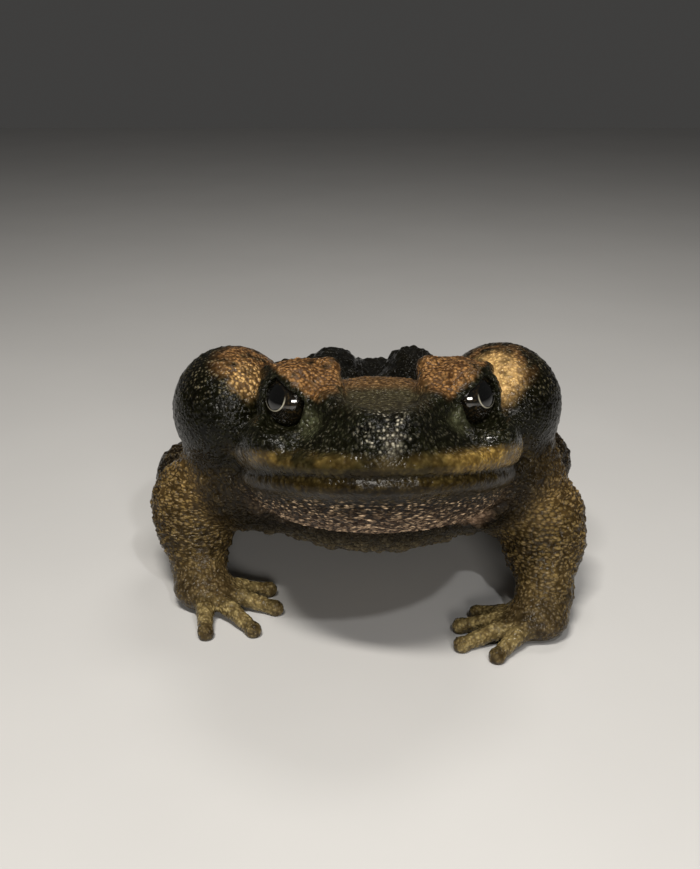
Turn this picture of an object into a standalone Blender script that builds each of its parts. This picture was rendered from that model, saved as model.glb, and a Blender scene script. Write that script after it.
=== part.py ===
"""A life-size cane toad, sitting up on its forelegs with its hind legs folded at its sides.

Lengths are in millimetres, and MM turns the finished meshes into Blender's metres. The toad faces -Y and
sits on the floor, z = 0, with the origin under the middle of its belly. Its flesh is a sum of lumps
(ellipsoids) and tapers (round limbs that narrow), with fillets where they meet. Each named part of the body
is one closed solid: its own shapes are remeshed, drawn onto the skin of the whole toad, and parted from its
neighbours by thin cuts.
"""

import math
import random

import bmesh
import bpy
import numpy as np
from mathutils import Euler, Matrix, Vector

MM = 0.001

# Driving sizes
HEAD_HALF_WIDTH = 50.0
HEAD_REACH = 62.0
EYE_RADIUS = 9.8
EAR_RADIUS = 4.6
SEAM = 0.3
ROOT = 3.4
PROUD = 1.2
LONGEST_MOVE = 4.0

# How the head is held: the point midway between the corners of the mouth, nose up and a little to one side
HEAD_AT = Vector((0.0, -112.0, 66.0))
HEAD_PITCH = 18
HEAD_YAW = 2.5
HEAD_TURN = Euler((math.radians(-HEAD_PITCH), 0, math.radians(HEAD_YAW))).to_matrix()
BODY_AT = Vector((0.0, -50.0, 0.0))
BODY_TURN = Euler((0, 0, 0)).to_matrix()

# In the head's frame x is to the side, y back from the corners of the mouth and z up from the mouth. The
# upper lid ends at a plane that faces LID_FACING and lies LID_RISE above the middle of the eyeball. Below it a
# lens opens the lids
EYE_AT = (30.6, -20.5, 23.2)
LID_FACING = (0.56, 0.19, -0.81)
LID_RISE = 4.6
LENS_AHEAD = (4.8, -13.2, -0.8)
LENS_RADII = (8.8, 16.0, 10.8)
LENS_YAW = 20
EAR_AT = (46.0, -9.0, 10.5)
EAR_GAZE = 28
NOSTRIL_AT = (7.5, -57.5, 15.0)
CORNER_DROOP = 1.5
GLAND_SIDE = {1: 50.5, -1: 54.0}

# Limb joints, given for the toad's left (+X). The right foreleg stands a little further back, and each digit
# has its angle inwards from straight ahead and its length
SHOULDER = (52, -34, 52)
ELBOW = {1: (67, -40, 33), -1: (74, -30, 35)}
WRIST = {1: (65, -66, 13), -1: (71, -44, 13)}
PALM = {1: (61, -76, 7), -1: (68, -54, 7)}
HIP = (36, 72, 35)
KNEE = {1: (73, 12, 33), -1: (80, 4, 29)}
ANKLE = (62, 90, 18)
FOOT = (76, 70, 8)
FINGERS = {1: ((116, 19), (92, 24), (68, 27), (42, 21)), -1: ((104, 21), (74, 25), (42, 27), (8, 21))}
TOES = ((30, 20), (14, 28), (0, 38), (-12, 50), (-30, 32))

WARTS = 38
WART_GAP = 12.0


def smooth_min(a, b, blend):
    """The union of two distances, with a fillet about as wide as blend where they meet."""
    overlap = np.maximum(blend - np.abs(a - b), 0) / blend
    return np.minimum(a, b) - overlap * overlap * blend / 4


class Lump:
    """An ellipsoid of flesh, tilted in the frame that it is placed in."""

    def __init__(self, centre, radii, blend=8, tilt=(0, 0, 0), at=BODY_AT, turn=BODY_TURN):
        self.centre = at + turn @ Vector(centre)
        self.radii = np.array(radii, float)
        self.axes = turn @ Euler([math.radians(a) for a in tilt]).to_matrix()
        self.blend = blend
        self.reach = max(radii)

    def distance(self, points):
        local = (points - np.array(self.centre)) @ np.array(self.axes)
        near = np.linalg.norm(local / self.radii, axis=1)
        steep = np.linalg.norm(local / self.radii**2, axis=1)
        return near * (near - 1) / np.maximum(steep, 1e-6)

    def middle(self):
        return self.centre

    def add_to(self, mesh):
        for vertex in bmesh.ops.create_icosphere(mesh, subdivisions=3, radius=1)["verts"]:
            stretched = Vector([vertex.co[i] * self.radii[i] for i in range(3)])
            vertex.co = self.centre + self.axes @ stretched


class Taper:
    """A round length of flesh from one ball to another."""

    def __init__(self, start, end, radii, blend=4, at=BODY_AT, turn=BODY_TURN):
        self.start = at + turn @ Vector(start)
        self.end = at + turn @ Vector(end)
        self.radii = radii
        self.blend = blend
        self.reach = (self.end - self.start).length / 2 + max(radii)

    def distance(self, points):
        start = np.array(self.start)
        along = np.array(self.end - self.start)
        share = np.clip((points - start) @ along / (along @ along), 0, 1)
        radius = self.radii[0] + (self.radii[1] - self.radii[0]) * share
        return np.linalg.norm(points - start - share[:, None] * along, axis=1) - radius

    def middle(self):
        return (self.start + self.end) / 2

    def add_to(self, mesh):
        direction = (self.end - self.start).normalized()
        for vertex in bmesh.ops.create_icosphere(mesh, subdivisions=3, radius=1)["verts"]:
            ahead = vertex.co.dot(direction) > 0
            centre = self.end if ahead else self.start
            vertex.co = centre + vertex.co * self.radii[ahead]


class Ridge:
    """A fold of one thickness along a bent path."""

    def __init__(self, path, radius, blend=3.0, at=BODY_AT, turn=BODY_TURN):
        self.blend = blend
        self.lengths = [
            Taper(a, b, (radius, radius), blend, at, turn) for a, b in zip(path, path[1:])
        ]
        ends = self.lengths[0].start, self.lengths[-1].end
        self.centre = (ends[0] + ends[1]) / 2
        self.reach = max((piece.start - self.centre).length for piece in self.lengths) + radius
        self.reach = max(self.reach, (ends[1] - self.centre).length + radius)

    def distance(self, points):
        return np.min([piece.distance(points) for piece in self.lengths], axis=0)

    def middle(self):
        return self.centre

    def add_to(self, mesh):
        for piece in self.lengths:
            piece.add_to(mesh)


def union(shapes, points):
    """The filleted distance to a list of shapes, skipping each where it is far away."""
    total = np.full(len(points), 1e3)
    for shape in shapes:
        apart = np.linalg.norm(points - np.array(shape.middle()), axis=1) - shape.reach
        near = apart < total + shape.blend + 2
        if near.any():
            total[near] = smooth_min(total[near], shape.distance(points[near]), shape.blend)
    return total


def head_lump(centre, radii, blend=6.0, tilt=(0, 0, 0)):
    return Lump(centre, radii, blend, tilt, HEAD_AT, HEAD_TURN)


def head_ridge(path, radius, blend=3.0):
    return Ridge(path, radius, blend, HEAD_AT, HEAD_TURN)


def mirrored(path, side):
    return [(side * x, y, z) for x, y, z in path]


def mouth_height(x):
    """How far the mouth line drops towards its corners."""
    return -CORNER_DROOP * (abs(x) / HEAD_HALF_WIDTH) ** 4


def lip(rise, radius):
    """A rim round the mouth, from one corner to the other."""
    path = []
    for step in range(-8, 9):
        angle = math.radians(step * 12)
        x = (HEAD_HALF_WIDTH - 2.6) * math.sin(angle)
        y = -(HEAD_REACH - 2.6) * math.cos(angle)
        path.append((x, y, mouth_height(x) + rise))
    return head_ridge(path, radius, 2.5)


def head_shapes():
    shapes = [
        head_lump((0, 0, 3), (HEAD_HALF_WIDTH, HEAD_REACH - 1, 12)),
        head_lump((0, 4, 13), (36, 34, 17.5), 8),
        head_lump((0, -30, 10), (26, 28, 13), 8),
        head_lump((0, -50, 9.5), (13, 12, 9), 6),
    ]
    for side in (1, -1):
        brow_crest = mirrored([(18, -36, 21.5), (16, -26, 27.5), (17.5, -14, 34)], side)
        rear_crest = mirrored([(17.5, -14, 34), (28, -7, 34.5), (39, -6, 32)], side)
        snout_crest = mirrored([(18, -36, 21.5), (6.5, -56, 17)], side)
        shapes += [
            head_lump((side * 37, -17, 9), (12.5, 26, 10)),
            head_lump((side * 27.5, -16, 18), (12, 17, 12.5)),
            head_lump((side * 26, -20, 24.5), (13.5, 19.5, 7.2), 4, (26, 0, side * -22)),
            head_lump((side * 29.6, -18.5, 24.2), (13, 13.8, 12), 4),
            head_lump((side * 45, -6, 5), (6.5, 15, 6), 5),
            head_ridge(brow_crest, 2.8, 5),
            head_ridge(rear_crest, 2.8, 5),
            head_ridge(snout_crest, 2.8, 6),
        ]
    return shapes + [lip(3.0, 3.2)]


def lid_shapes():
    """The overhanging edge of each upper lid and the rim of the lower one, close round the eyeballs."""
    shapes = []
    for side in (1, -1):
        upper = mirrored(
            [(21, -33, 22), (25, -30.4, 24.4), (30.6, -29.4, 29.2), (34.5, -24.5, 32.4),
             (38, -16, 34), (40.5, -8, 33)],
            side,
        )
        lower = mirrored(
            [(24, -29.6, 22.4), (24, -28.8, 18), (26.7, -27.2, 13.9), (31.5, -24, 11.4),
             (36.4, -22.2, 12.6), (40.4, -18, 16.4), (42, -15, 22.5), (40.6, -11, 29)],
            side,
        )
        shapes += [head_ridge(upper, 1.8, 2.5), head_ridge(lower, 1.6, 2.5)]
    return shapes


def lower_jaw_shapes():
    shapes = [
        head_lump((0, 0, -5), (HEAD_HALF_WIDTH - 1, HEAD_REACH - 3, 11)),
        head_lump((0, -4, -11), (43, 46, 14), 8),
    ]
    return shapes + [lip(-3.2, 2.8)]


def parotoid_shapes(side):
    across = side * GLAND_SIDE[side]
    return [
        head_lump((across, 29, 18), (23.5, 33, 25), 6, (0, side * 12, side * 6)),
        head_lump((across + side * 2, 54, 7), (18, 26, 18), 14),
    ]


def torso_shapes():
    shapes = [
        Lump((0, 34, 30), (68, 80, 36), 16, (-7, 0, 0)),
        Lump((0, -20, 47), (55, 43, 31), 18),
        Lump((0, 98, 22), (36, 26, 20), 16),
    ]
    for side in (1, -1):
        shapes += [
            Lump((side * 17.5, 18, 67.5), (14, 33, 15), 5, (-6, 0, 0)),
            Lump((side * 11, 66, 52), (15, 26, 10), 8, (-16, 0, 0)),
            Lump((side * 48, -34, 50), (24, 26, 24), 12),
            Lump((side * 36, 76, 32), (30, 28, 26), 12),
        ]
    return shapes


def sided(place, side):
    return Vector((side * place[0], place[1], place[2]))


def digit_shapes(palm, digits, radius, side):
    """Digits that fan out from a palm, each with a raised knuckle and a round tip laid on the floor."""
    shapes = []
    for angle, length in digits:
        turn = math.radians(angle)
        along = Vector((-side * math.sin(turn), -math.cos(turn), 0))
        root = palm + along * 5
        knuckle = root + along * length * 0.45
        tip = root + along * length
        root.z = radius + 2
        knuckle.z = radius + 1.6
        tip.z = radius * 0.8 - 0.4
        shapes.append(Taper(root, knuckle, (radius + 0.6, radius), 3))
        shapes.append(Taper(knuckle, tip, (radius, radius * 0.8), 1.5))
        shapes.append(Lump(tip, (radius * 0.95,) * 3, 1))
    return shapes


def hand_shapes(side):
    wrist = sided(WRIST[side], side)
    palm = sided(PALM[side], side)
    shapes = [Taper(wrist, palm, (9, 7.5), 3), Lump(palm, (12, 11, 7.2), 5)]
    return shapes + digit_shapes(palm, FINGERS[side], 3.4, side)


def foot_shapes(side):
    ankle = sided(ANKLE, side)
    foot = sided(FOOT, side)
    shapes = [Taper(ankle, foot, (10, 7.5), 4), Lump(foot, (10, 14, 7.5), 6)]
    return shapes + digit_shapes(foot, TOES, 3.4, side)


def upper_arm_shapes(side):
    return [Taper(sided(SHOULDER, side), sided(ELBOW[side], side), (19, 15.5), 8)]


def forearm_shapes(side):
    elbow = sided(ELBOW[side], side)
    wrist = sided(WRIST[side], side)
    belly = elbow.lerp(wrist, 0.35)
    return [Taper(elbow, wrist, (15, 10.5), 8), Lump(belly, (16, 16, 16), 6)]


def thigh_shapes(side):
    hip = sided(HIP, side)
    knee = sided(KNEE[side], side)
    middle = hip.lerp(knee, 0.42)
    return [Taper(hip, knee, (24, 14.5), 6), Lump(middle, (21, 32, 22), 6, (0, 0, side * 34))]


def shank_shapes(side):
    knee = sided(KNEE[side], side)
    ankle = sided(ANKLE, side)
    calf = knee.lerp(ankle, 0.38) + Vector((side * 2, 0, 0))
    return [Taper(knee, ankle, (13.5, 10), 5), Lump(calf, (12.5, 28, 13.5), 6, (9, 0, side * 10))]


# The flesh nodes, each with its shapes, the edge of its mesh and its number of faces. A node earlier in the
# list keeps its whole form, and is what the later ones are parted from
MESHES = {
    "parotoid": (parotoid_shapes, 3.4, 300),
    "head": (head_shapes, 1.7, 3700),
    "lower_jaw": (lower_jaw_shapes, 2.8, 700),
    "torso": (torso_shapes, 4.2, 1700),
    "upper_arm": (upper_arm_shapes, 3.2, 200),
    "forearm": (forearm_shapes, 3.0, 260),
    "hand": (hand_shapes, 1.7, 560),
    "thigh": (thigh_shapes, 4.0, 260),
    "shank": (shank_shapes, 3.2, 240),
    "foot": (foot_shapes, 1.8, 720),
}
MIDDLE_NODES = ("head", "lower_jaw", "torso")


def flesh_nodes():
    """The name, shapes, mesh edge and face count of each flesh node, in order."""
    for kind, (make, edge, faces) in MESHES.items():
        if kind == "head":
            yield kind, make() + lid_shapes(), edge, faces
        elif kind in MIDDLE_NODES:
            yield kind, make(), edge, faces
        else:
            yield kind + "_left", make(1), edge, faces
            yield kind + "_right", make(-1), edge, faces


SHAPES = {name: shapes for name, shapes, _, _ in flesh_nodes()}
LIDS = lid_shapes()
SKULL = head_shapes()
ARM = ("upper_arm", "forearm", "hand")
LEG = ("thigh", "shank", "foot")


def joined(names, points, blend):
    total = union(SHAPES[names[0]], points)
    for name in names[1:]:
        total = smooth_min(total, union(SHAPES[name], points), blend)
    return total


class EyeOpening:
    """What the lids leave open: a lens in front of an eyeball, cut off by the edge of the upper lid."""

    def __init__(self, side):
        eye = sided(EYE_AT, side)
        self.lens = head_lump(eye + sided(LENS_AHEAD, side), LENS_RADII, 1, (0, 0, side * LENS_YAW))
        self.eye = np.array(HEAD_AT + HEAD_TURN @ eye)
        self.down = np.array(HEAD_TURN @ Vector((side * LID_FACING[0], *LID_FACING[1:])).normalized())

    def distance(self, points):
        return np.maximum(self.lens.distance(points), -LID_RISE - (points - self.eye) @ self.down)

    def form(self):
        """The opening as a closed mesh."""
        bm = bmesh.new()
        self.lens.add_to(bm)
        down = Vector(self.down)
        everything = bm.verts[:] + bm.edges[:] + bm.faces[:]
        edge = Vector(self.eye) - down * LID_RISE
        bmesh.ops.bisect_plane(bm, geom=everything, plane_co=edge, plane_no=down, clear_inner=True)
        bmesh.ops.holes_fill(bm, edges=[rim for rim in bm.edges if rim.is_boundary])
        bmesh.ops.recalc_face_normals(bm, faces=bm.faces[:])
        return bm


OPENINGS = [EyeOpening(side) for side in (1, -1)]


def body_distance(points):
    """The distance to the whole toad's skin."""
    total = smooth_min(union(SKULL, points), union(SHAPES["lower_jaw"], points), 1.2)
    total = smooth_min(total, union(SHAPES["torso"], points), 9)
    for side in ("left", "right"):
        total = smooth_min(total, union(SHAPES["parotoid_" + side], points), 4)
        total = smooth_min(total, joined([f"{n}_{side}" for n in ARM], points, 5), 7)
        total = smooth_min(total, joined([f"{n}_{side}" for n in LEG], points, 4), 4)
    for opening in OPENINGS:
        total = -smooth_min(-total, opening.distance(points), 1)
    return smooth_min(total, union(LIDS, points), 2)


def new_object(name, mesh):
    thing = bpy.data.objects.new(name, mesh)
    bpy.context.scene.collection.objects.link(thing)
    return thing


def object_from(bm, name):
    mesh = bpy.data.meshes.new(name)
    bm.to_mesh(mesh)
    bm.free()
    return new_object(name, mesh)


def apply_modifiers(thing):
    depsgraph = bpy.context.evaluated_depsgraph_get()
    mesh = bpy.data.meshes.new_from_object(thing.evaluated_get(depsgraph))
    thing.modifiers.clear()
    thing.data = mesh


def draw_onto_skin(thing, shapes, rounds):
    """Move each vertex onto the toad's skin or, inside the body, onto the root of the node's own shapes."""
    probe = 0.2
    corners = probe * np.array([[1, -1, -1], [-1, -1, 1], [-1, 1, -1], [1, 1, 1]], float)

    def distance(points):
        return np.maximum(body_distance(points), union(shapes, points) - ROOT)

    count = len(thing.data.vertices)
    places = np.empty(count * 3)
    thing.data.vertices.foreach_get("co", places)
    places = places.reshape(-1, 3)
    for _ in range(rounds):
        slope = sum(distance(places + c)[:, None] * c for c in corners) / (4 * probe * probe)
        steep = np.maximum((slope * slope).sum(axis=1), 0.25)
        step = np.clip(distance(places) / steep, -2, 2)
        places -= step[:, None] * slope
    thing.data.vertices.foreach_set("co", places.ravel())
    thing.data.update()


def flesh(name, shapes, edge, faces):
    """The whole form of one node, before it is parted from its neighbours."""
    bm = bmesh.new()
    for shape in shapes:
        shape.add_to(bm)
    thing = object_from(bm, name)
    remesh = thing.modifiers.new("remesh", "REMESH")
    remesh.mode = "VOXEL"
    remesh.voxel_size = edge
    apply_modifiers(thing)
    if name == "head":
        for opening in OPENINGS:
            lens = object_from(opening.form(), "lens")
            cut(thing, lens)
            remove([lens])
    draw_onto_skin(thing, shapes, 4)
    decimate = thing.modifiers.new("decimate", "DECIMATE")
    decimate.ratio = min(1, faces / (2 * len(thing.data.polygons)))
    decimate.use_collapse_triangulate = True
    apply_modifiers(thing)
    return thing


def cutter_for(thing):
    """A copy of a node, a seam larger all round its root and standing past the skin, that cuts cleanly."""
    bm = bmesh.new()
    bm.from_mesh(thing.data)
    bm.normal_update()
    centres = np.array([face.calc_center_median() for face in bm.faces])
    on_skin = body_distance(centres) > union(SHAPES[thing.name], centres) - ROOT
    moves = []
    for vertex in bm.verts:
        move = Vector()
        for _ in range(12):
            for face in vertex.link_faces:
                short = (PROUD if on_skin[face.index] else SEAM) - move.dot(face.normal)
                move += face.normal * max(short, 0)
        moves.append(move.normalized() * min(move.length, LONGEST_MOVE))
    for vertex, move in zip(bm.verts, moves):
        vertex.co += move
    return object_from(bm, "cutter_" + thing.name)


def combine(thing, operation, other):
    """Cut or join by the manifold solver, as the exact one leaves open edges where skins lie very close."""
    boolean = thing.modifiers.new("combine", "BOOLEAN")
    boolean.operation = operation
    boolean.solver = "MANIFOLD"
    boolean.object = other
    thing.modifiers.new("triangles", "TRIANGULATE")
    apply_modifiers(thing)


def cut(thing, cutter):
    combine(thing, "DIFFERENCE", cutter)


def near(one, other):
    """Whether the boxes of two meshes come near each other."""
    boxes = [np.array([v.co for v in thing.data.vertices]) for thing in (one, other)]
    low = np.maximum(boxes[0].min(axis=0), boxes[1].min(axis=0))
    high = np.minimum(boxes[0].max(axis=0), boxes[1].max(axis=0))
    return (low < high + 1).all()


def keep_largest(thing):
    """Drop any loose scrap that a cut has left."""
    bm = bmesh.new()
    bm.from_mesh(thing.data)
    left = set(bm.faces)
    pieces = []
    while left:
        front = [left.pop()]
        piece = list(front)
        while front:
            for edge in front.pop().edges:
                for face in edge.link_faces:
                    if face in left:
                        left.remove(face)
                        piece.append(face)
                        front.append(face)
        pieces.append(piece)
    pieces.sort(key=len)
    scraps = [face for piece in pieces[:-1] for face in piece]
    bmesh.ops.delete(bm, geom=scraps, context="FACES")
    bm.to_mesh(thing.data)
    bm.free()


def remove(things):
    for thing in things:
        bpy.data.objects.remove(thing)


def block_past_mouth(side):
    """All above (side 1) or below (side -1) the mouth, leaving half a seam beyond the mouth line."""
    bm = bmesh.new()
    bmesh.ops.create_grid(bm, x_segments=24, y_segments=8, size=120)
    for vertex in bm.verts:
        vertex.co.z = mouth_height(min(abs(vertex.co.x), 60)) - side * SEAM / 2
    top = bmesh.ops.extrude_face_region(bm, geom=bm.faces[:])["geom"]
    for vertex in top:
        if isinstance(vertex, bmesh.types.BMVert):
            vertex.co.z = side * 90
    bmesh.ops.recalc_face_normals(bm, faces=bm.faces[:])
    bmesh.ops.transform(bm, matrix=Matrix.Translation(HEAD_AT) @ HEAD_TURN.to_4x4(), verts=bm.verts[:])
    return object_from(bm, "mouth_block")


def floor_block():
    bm = bmesh.new()
    bmesh.ops.create_cube(bm, size=400)
    bmesh.ops.translate(bm, vec=(0, 0, -200), verts=bm.verts[:])
    return object_from(bm, "floor_block")


def ball(name, centre, radius, segments=20):
    bm = bmesh.new()
    bmesh.ops.create_uvsphere(bm, u_segments=segments, v_segments=segments // 2, radius=radius)
    bmesh.ops.translate(bm, vec=HEAD_AT + HEAD_TURN @ Vector(centre), verts=bm.verts[:])
    return object_from(bm, name)


def ear(name, side, radius, thick):
    """The eardrum, a thin disc set in the skin behind the eye."""
    bm = bmesh.new()
    bmesh.ops.create_cone(
        bm, cap_ends=True, segments=16, radius1=radius, radius2=radius * 0.86, depth=thick
    )
    facing = Euler((0, math.radians(90), math.radians(-side * EAR_GAZE))).to_matrix()
    if side < 0:
        facing = Euler((0, math.radians(-90), math.radians(EAR_GAZE))).to_matrix()
    place = HEAD_AT + HEAD_TURN @ sided(EAR_AT, side)
    matrix = Matrix.Translation(place) @ (HEAD_TURN @ facing).to_4x4()
    bmesh.ops.transform(bm, matrix=matrix, verts=bm.verts[:])
    return object_from(bm, name)


def clear_of_neighbours(place):
    """How far a place on the torso is from the nearest other node."""
    point = np.array([place])
    others = [shapes for name, shapes in SHAPES.items() if name != "torso"]
    return min(union(shapes, point)[0] for shapes in others)


def add_warts(torso):
    """Warts over the back and flanks, sunk in the skin and fused to it."""
    rng = random.Random(7)
    corners = [v for v in torso.data.vertices if v.co.z > 30 and v.normal.z > 0.15]
    rng.shuffle(corners)
    placed = []
    bm = bmesh.new()
    for vertex in corners:
        if len(placed) == WARTS:
            break
        if any((vertex.co - other).length < WART_GAP for other in placed):
            continue
        if clear_of_neighbours(vertex.co) < 9:
            continue
        placed.append(vertex.co.copy())
        radius = rng.uniform(3.0, 5.2)
        turn = vertex.normal.to_track_quat("Z", "Y").to_matrix()
        for corner in bmesh.ops.create_uvsphere(bm, u_segments=7, v_segments=4, radius=1)["verts"]:
            local = Vector((corner.co.x * radius, corner.co.y * radius, corner.co.z * radius * 0.5))
            corner.co = vertex.co + turn @ local + vertex.normal * 0.3
    warts = object_from(bm, "warts")
    combine(torso, "UNION", warts)
    remove([warts])


def build_flesh():
    """All the flesh nodes, parted from each other, from the eyes and ears and from the floor."""
    nodes = [flesh(*node) for node in flesh_nodes()]
    cutters = {thing.name: cutter_for(thing) for thing in nodes}
    floor = floor_block()
    by_name = {thing.name: thing for thing in nodes}
    add_warts(by_name["torso"])
    blocks = {"head": block_past_mouth(-1), "lower_jaw": block_past_mouth(1)}
    for index, thing in enumerate(nodes):
        for earlier in nodes[:index]:
            split = {thing.name, earlier.name} == {"head", "lower_jaw"}
            if near(thing, earlier) and not split:
                cut(thing, cutters[earlier.name])
        if thing.name in blocks:
            cut(thing, blocks[thing.name])
        cut(thing, floor)
    sockets = [ball("socket", (side * EYE_AT[0], *EYE_AT[1:]), EYE_RADIUS + SEAM) for side in (1, -1)]
    sockets += [ear("ear_socket", side, EAR_RADIUS + SEAM, 4) for side in (1, -1)]
    sockets += [ball("nostril", (side * NOSTRIL_AT[0], *NOSTRIL_AT[1:]), 1.5, 10) for side in (1, -1)]
    for socket in sockets:
        cut(by_name["head"], socket)
    for thing in nodes:
        keep_largest(thing)
    remove(list(cutters.values()) + [floor] + list(blocks.values()) + sockets)
    return nodes


# Skin and eye colours (linear) and roughness
COLOURS = {
    "head": ((0.030, 0.020, 0.011), 0.32),
    "lower_jaw": ((0.048, 0.034, 0.020), 0.38),
    "parotoid": ((0.040, 0.022, 0.010), 0.28),
    "torso": ((0.026, 0.018, 0.010), 0.42),
    "upper_arm": ((0.062, 0.043, 0.018), 0.42),
    "forearm": ((0.066, 0.047, 0.020), 0.42),
    "hand": ((0.14, 0.105, 0.032), 0.36),
    "thigh": ((0.050, 0.035, 0.016), 0.42),
    "shank": ((0.052, 0.037, 0.017), 0.42),
    "foot": ((0.085, 0.062, 0.024), 0.40),
    "ear": ((0.030, 0.019, 0.011), 0.34),
    "eye": ((0.006, 0.005, 0.004), 0.05),
}


def finish(thing):
    """Give a node its material, turn millimetres into metres and shade it smooth."""
    kind = thing.name.removesuffix("_left").removesuffix("_right")
    colour, roughness = COLOURS[kind]
    material = bpy.data.materials.new(kind + "_skin" if kind != "eye" else "eye")
    material.use_nodes = True
    shader = material.node_tree.nodes["Principled BSDF"]
    shader.inputs["Base Color"].default_value = (*colour, 1)
    shader.inputs["Roughness"].default_value = roughness
    shader.inputs["Metallic"].default_value = 0
    thing.data.materials.clear()
    thing.data.materials.append(material)
    thing.data.transform(Matrix.Scale(MM, 4))
    thing.data.shade_smooth()
    thing.data.set_sharp_from_angle(angle=math.radians(50))


def main():
    remove(list(bpy.data.objects))
    nodes = build_flesh()
    for side, word in ((1, "left"), (-1, "right")):
        nodes.append(ball("eye_" + word, (side * EYE_AT[0], *EYE_AT[1:]), EYE_RADIUS, 16))
        nodes.append(ear("ear_" + word, side, EAR_RADIUS, 3))
    for thing in nodes:
        finish(thing)


if __name__ == "__main__":
    main()
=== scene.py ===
"""The cane toad as it looks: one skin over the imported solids, two wet eyes, a floor, lights and the camera.

The skin is worked in millimetres from the same lumps, tapers and folds as the solids, and MM turns the
finished meshes into metres. The head's frame has x to the side, y back from the corners of the mouth and z
up from the mouth.
"""

import math
import random

import bmesh
import bpy
import numpy as np
from mathutils import Euler, Matrix, Vector, kdtree, noise


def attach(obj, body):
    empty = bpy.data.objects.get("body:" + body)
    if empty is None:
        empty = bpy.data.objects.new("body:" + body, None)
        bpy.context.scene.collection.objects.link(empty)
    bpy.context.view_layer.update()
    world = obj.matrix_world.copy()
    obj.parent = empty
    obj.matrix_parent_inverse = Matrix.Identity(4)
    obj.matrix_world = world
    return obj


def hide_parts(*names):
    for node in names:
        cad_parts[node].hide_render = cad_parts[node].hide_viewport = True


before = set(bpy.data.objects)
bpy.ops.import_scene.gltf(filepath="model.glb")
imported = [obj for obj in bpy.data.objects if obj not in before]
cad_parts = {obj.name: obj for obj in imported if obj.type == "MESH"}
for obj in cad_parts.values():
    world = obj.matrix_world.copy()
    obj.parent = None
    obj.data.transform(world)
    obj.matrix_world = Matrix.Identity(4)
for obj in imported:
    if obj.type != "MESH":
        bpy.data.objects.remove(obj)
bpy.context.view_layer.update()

MM = 0.001

# Driving sizes
HEAD_HALF_WIDTH = 50.0
HEAD_REACH = 62.0
EYE_RADIUS = 9.8

# How the head is held: the point midway between the corners of the mouth, nose up and a little to one side
HEAD_AT = Vector((0.0, -112.0, 66.0))
HEAD_PITCH = 18
HEAD_YAW = 2.5
HEAD_TURN = Euler((math.radians(-HEAD_PITCH), 0, math.radians(HEAD_YAW))).to_matrix()
BODY_AT = Vector((0.0, -50.0, 0.0))
BODY_TURN = Euler((0, 0, 0)).to_matrix()

# In the head's frame the upper lid ends at a plane that faces LID_FACING and lies LID_RISE above the middle
# of the eyeball. Below it a lens opens the lids
EYE_AT = (30.6, -20.5, 23.2)
LID_FACING = (0.56, 0.19, -0.81)
LID_RISE = 4.6
LENS_AHEAD = (4.8, -13.2, -0.8)
LENS_RADII = (8.8, 16.0, 10.8)
LENS_YAW = 20
CORNER_DROOP = 1.5
GLAND_SIDE = {1: 50.5, -1: 54.0}

# Limb joints, given for the toad's left (+X). The right foreleg stands a little further back, and each
# digit has its angle inwards from straight ahead and its length
SHOULDER = (52, -34, 52)
ELBOW = {1: (67, -40, 33), -1: (74, -30, 35)}
WRIST = {1: (65, -66, 13), -1: (71, -44, 13)}
PALM = {1: (61, -76, 7), -1: (68, -54, 7)}
HIP = (36, 72, 35)
KNEE = {1: (73, 12, 33), -1: (80, 4, 29)}
ANKLE = (62, 90, 18)
FOOT = (76, 70, 8)
FINGERS = {1: ((116, 19), (92, 24), (68, 27), (42, 21)), -1: ((104, 21), (74, 25), (42, 27), (8, 21))}
TOES = ((30, 20), (14, 28), (0, 38), (-12, 50), (-30, 32))


def smooth_min(a, b, blend):
    """The union of two distances, with a fillet about as wide as blend where they meet."""
    overlap = np.maximum(blend - np.abs(a - b), 0) / blend
    return np.minimum(a, b) - overlap * overlap * blend / 4


class Lump:
    """An ellipsoid of flesh, tilted in the frame that it is placed in."""

    def __init__(self, centre, radii, blend=8, tilt=(0, 0, 0), at=BODY_AT, turn=BODY_TURN):
        self.centre = at + turn @ Vector(centre)
        self.radii = np.array(radii, float)
        self.axes = turn @ Euler([math.radians(a) for a in tilt]).to_matrix()
        self.blend = blend
        self.reach = max(radii)

    def distance(self, points):
        local = (points - np.array(self.centre)) @ np.array(self.axes)
        near = np.linalg.norm(local / self.radii, axis=1)
        steep = np.linalg.norm(local / self.radii**2, axis=1)
        return near * (near - 1) / np.maximum(steep, 1e-6)

    def middle(self):
        return self.centre

    def add_to(self, mesh):
        for vertex in bmesh.ops.create_icosphere(mesh, subdivisions=3, radius=1)["verts"]:
            stretched = Vector([vertex.co[i] * self.radii[i] for i in range(3)])
            vertex.co = self.centre + self.axes @ stretched


class Taper:
    """A round length of flesh from one ball to another."""

    def __init__(self, start, end, radii, blend=4, at=BODY_AT, turn=BODY_TURN):
        self.start = at + turn @ Vector(start)
        self.end = at + turn @ Vector(end)
        self.radii = radii
        self.blend = blend
        self.reach = (self.end - self.start).length / 2 + max(radii)

    def distance(self, points):
        start = np.array(self.start)
        along = np.array(self.end - self.start)
        share = np.clip((points - start) @ along / (along @ along), 0, 1)
        radius = self.radii[0] + (self.radii[1] - self.radii[0]) * share
        return np.linalg.norm(points - start - share[:, None] * along, axis=1) - radius

    def middle(self):
        return (self.start + self.end) / 2

    def add_to(self, mesh):
        direction = (self.end - self.start).normalized()
        for vertex in bmesh.ops.create_icosphere(mesh, subdivisions=3, radius=1)["verts"]:
            ahead = vertex.co.dot(direction) > 0
            centre = self.end if ahead else self.start
            vertex.co = centre + vertex.co * self.radii[ahead]


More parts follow.
